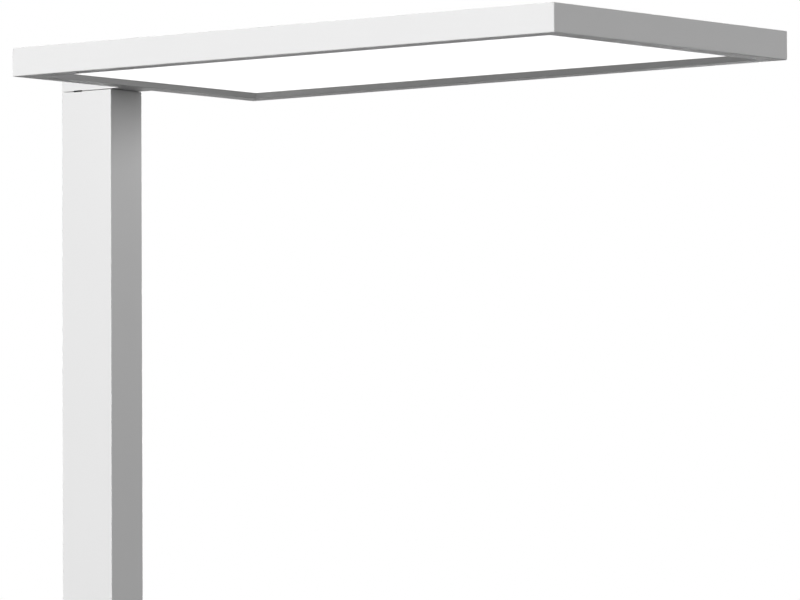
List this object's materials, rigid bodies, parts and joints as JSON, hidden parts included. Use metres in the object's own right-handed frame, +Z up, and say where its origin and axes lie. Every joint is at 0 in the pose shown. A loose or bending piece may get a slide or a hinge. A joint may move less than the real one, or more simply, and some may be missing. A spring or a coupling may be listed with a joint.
{
  "type": "office floor lamp",
  "caption": "Floor lamp with a slim rectangular panel head cantilevered from a swivel at the top of a rectangular column on a flat base plate, with push buttons on the column.",
  "frame": {"origin": "on the floor, under the middle of the lamp's outline seen from above", "axes": "+X along the head, away from the column; +Y across the head; +Z up along the column"},
  "size_m": [0.711, 0.34, 1.95],
  "materials": {
    "white_powder_coat": "fine matte white powder coat with a faint orange peel",
    "base_powder_coat": "fine matte white powder coat on a thick steel plate",
    "glide_rubber": "dark grey moulded rubber",
    "zinc_steel": "zinc plated steel screws",
    "white_screws": "countersunk screws painted white",
    "raw_aluminium": "mill finish aluminium",
    "turned_steel": "turned and ground steel",
    "bronze_washer": "sintered bronze friction ring",
    "black_plastic": "fine textured black moulded plastic",
    "nickel_pins": "nickel plated blades",
    "grey_lead": "grey sheathed internal lead",
    "driver_case": "white moulded case",
    "bezel_plastic": "fine textured light grey moulded plastic",
    "button_plastic": "satin white moulded plastic with grey printed symbols",
    "green_board": "green circuit board",
    "led_board": "white circuit board with light emitting diodes",
    "bush_plastic": "self-lubricating black plastic",
    "grey_foam": "soft dark foam strip",
    "reflector_white": "white reflector film",
    "clear_acrylic": "clear light guide sheet with printed dots",
    "opal_diffuser": "opal sheet, lit evenly from behind",
    "uplight_opal": "opal sheet over the upward light",
    "terminal_plastic": "white terminal block",
    "wire_insulation": "thin insulated wires"
  },
  "bodies": {
    "stand": {"base_plate": "base_powder_coat", "glides": "glide_rubber", "base_screws": "zinc_steel", "column_foot": "raw_aluminium", "foot_screws": "white_screws", "column_tube": "white_powder_coat", "power_inlet": "black_plastic", "inlet_pins": "nickel_pins", "mains_lead": "grey_lead", "driver_sled": "raw_aluminium", "sled_screws": "white_screws", "led_driver": "driver_case", "driver_screws": "zinc_steel", "control_bezel": "bezel_plastic", "control_board": "green_board", "tact_switches": "black_plastic", "control_back": "bezel_plastic", "control_lead": "grey_lead", "swivel_housing": "raw_aluminium", "housing_screws": "white_screws", "upper_bush": "bush_plastic", "lower_bush": "bush_plastic", "stop_pin": "zinc_steel"},
    "head": {"neck": "white_powder_coat", "neck_cap": "white_powder_coat", "cap_screw": "white_screws", "swivel_shaft": "turned_steel", "shaft_screws": "zinc_steel", "friction_washer": "bronze_washer", "disc_springs": "turned_steel", "swivel_nut": "zinc_steel", "rail_front": "white_powder_coat", "rail_rear": "white_powder_coat", "rail_column_end": "white_powder_coat", "rail_outer_end": "white_powder_coat", "corner_keys": "raw_aluminium", "head_bracket": "turned_steel", "bracket_screws": "zinc_steel", "neck_screws": "zinc_steel", "carrier_plate": "raw_aluminium", "foam_strips": "grey_foam", "reflector_sheet": "reflector_white", "light_guide": "clear_acrylic", "diffuser": "opal_diffuser", "edge_led_strips": "led_board", "uplight_boards": "led_board", "uplight_lens": "uplight_opal", "top_cover": "white_powder_coat", "cover_screws": "white_screws", "head_terminal": "terminal_plastic", "head_lead": "grey_lead", "head_wires": "wire_insulation"},
    "power_button": {"button_power": "button_plastic", "plunger_power": "black_plastic"},
    "brighter_button": {"button_brighter": "button_plastic", "plunger_brighter": "black_plastic"},
    "dimmer_button": {"button_dimmer": "button_plastic", "plunger_dimmer": "black_plastic"}
  },
  "joints": [
    {"name": "head_swivel", "type": "hinge", "parent": "stand", "child": "head", "pos_m": [-0.3055, 0, 1.924], "axis": [0, 0, 1], "range_deg": [-90, 90]},
    {"name": "power_press", "type": "slide", "parent": "stand", "child": "power_button", "axis": [-1, 0, 0], "range_m": [0, 0.0005], "stiffness_N_per_m": 2500},
    {"name": "brighter_press", "type": "slide", "parent": "stand", "child": "brighter_button", "axis": [-1, 0, 0], "range_m": [0, 0.0005], "stiffness_N_per_m": 2500},
    {"name": "dimmer_press", "type": "slide", "parent": "stand", "child": "dimmer_button", "axis": [-1, 0, 0], "range_m": [0, 0.0005], "stiffness_N_per_m": 2500}
  ]
}
